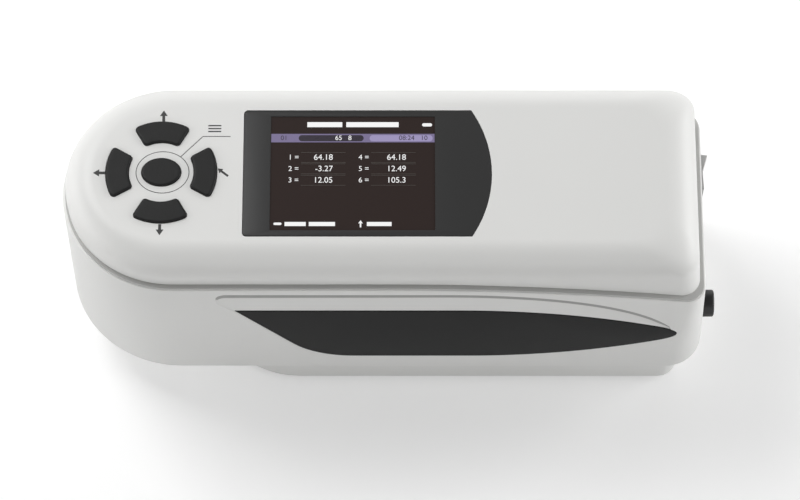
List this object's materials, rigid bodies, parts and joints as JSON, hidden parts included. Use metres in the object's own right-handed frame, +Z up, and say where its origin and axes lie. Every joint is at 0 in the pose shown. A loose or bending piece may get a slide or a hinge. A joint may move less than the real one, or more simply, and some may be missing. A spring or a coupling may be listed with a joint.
{
  "type": "portable colorimeter",
  "caption": "Long white instrument case on a base block, with a colour display, round keypad, rubber side grips and a measuring aperture underneath.",
  "frame": {"origin": "centre of the bounding box's bottom face, on the surface that the instrument stands on", "axes": "+Z up through the display, +X along the case towards the measuring end with the interface panel, +Y away from the user's side of the case"},
  "size_m": [0.2066, 0.068, 0.0959],
  "materials": {
    "white_abs": "fine spark-eroded texture, satin",
    "grey_silicone": "moulded, matt",
    "black_rubber": "moulded, matt",
    "key_abs": "fine texture, satin",
    "black_abs": "moulded, satin",
    "window_acrylic": "back-printed, hard coated",
    "display_glass": "liquid crystal module",
    "circuit_board": "solder mask over glass laminate",
    "steel": "nickel plated",
    "aluminium": "machined",
    "sphere_coating": "diffuse white coating",
    "pack_sleeve": "shrink sleeve",
    "lens_glass": "polished",
    "ribbon_polyester": "laminated"
  },
  "bodies": {
    "housing": {"upper_cover": "white_abs", "lower_housing": "white_abs", "base_housing": "white_abs", "seam_gasket": "grey_silicone", "keypad_mat": "grey_silicone", "grip_front": "black_rubber", "grip_rear": "black_rubber", "rubber_foot_1": "black_rubber", "rubber_foot_2": "black_rubber", "rubber_foot_3": "black_rubber", "rubber_foot_4": "black_rubber", "measure_switch": "black_abs", "interface_panel": "black_abs", "power_switch": "black_abs", "charging_jack": "black_abs", "aperture_plate": "black_abs", "aperture_nose": "black_abs", "detector_barrel": "black_abs", "locating_camera": "black_abs", "display_window": "window_acrylic", "display_module": "display_glass", "main_board": "circuit_board", "keypad_board": "circuit_board", "interface_board": "circuit_board", "detector_board": "circuit_board", "lamp_board": "circuit_board", "usb_socket": "steel", "clock_cell": "steel", "case_screw_1": "steel", "case_screw_2": "steel", "case_screw_3": "steel", "case_screw_4": "steel", "base_screw_1": "steel", "base_screw_2": "steel", "base_screw_3": "steel", "base_screw_4": "steel", "board_screw_1": "steel", "board_screw_2": "steel", "board_screw_3": "steel", "board_screw_4": "steel", "keypad_screw_1": "steel", "keypad_screw_2": "steel", "chassis_screw_1": "steel", "chassis_screw_2": "steel", "optics_chassis": "aluminium", "lamp_tube": "aluminium", "sphere_lower": "sphere_coating", "sphere_upper": "sphere_coating", "battery_pack": "pack_sleeve", "detector_lens": "lens_glass", "ribbon_cable": "ribbon_polyester"},
    "key_up": {"key_up": "key_abs"},
    "key_down": {"key_down": "key_abs"},
    "key_left": {"key_left": "key_abs"},
    "key_right": {"key_right": "key_abs"},
    "key_enter": {"key_enter": "key_abs"},
    "measure_button": {"measure_button": "black_abs"},
    "power_rocker": {"power_rocker": "white_abs"},
    "battery_door": {"battery_door": "white_abs"}
  },
  "joints": [
    {"name": "key_up_press", "type": "slide", "parent": "housing", "child": "key_up", "axis": [0, 0, -1], "range_m": [0, 0.0009], "stiffness_N_per_m": 1500},
    {"name": "key_down_press", "type": "slide", "parent": "housing", "child": "key_down", "axis": [0, 0, -1], "range_m": [0, 0.0009], "stiffness_N_per_m": 1500},
    {"name": "key_left_press", "type": "slide", "parent": "housing", "child": "key_left", "axis": [0, 0, -1], "range_m": [0, 0.0009], "stiffness_N_per_m": 1500},
    {"name": "key_right_press", "type": "slide", "parent": "housing", "child": "key_right", "axis": [0, 0, -1], "range_m": [0, 0.0009], "stiffness_N_per_m": 1500},
    {"name": "key_enter_press", "type": "slide", "parent": "housing", "child": "key_enter", "axis": [0, 0, -1], "range_m": [0, 0.0009], "stiffness_N_per_m": 1500},
    {"name": "measure_press", "type": "slide", "parent": "housing", "child": "measure_button", "axis": [-1, 0, 0], "range_m": [0, 0.0018], "stiffness_N_per_m": 1200},
    {"name": "power_rock", "type": "hinge", "parent": "housing", "child": "power_rocker", "pos_m": [0.09625, 0.0165, 0.0575], "axis": [0, 0, 1], "range_deg": [0, 14]},
    {"name": "door_slide", "type": "slide", "parent": "housing", "child": "battery_door", "axis": [-1, 0, 0], "range_m": [0, 0.08]}
  ]
}
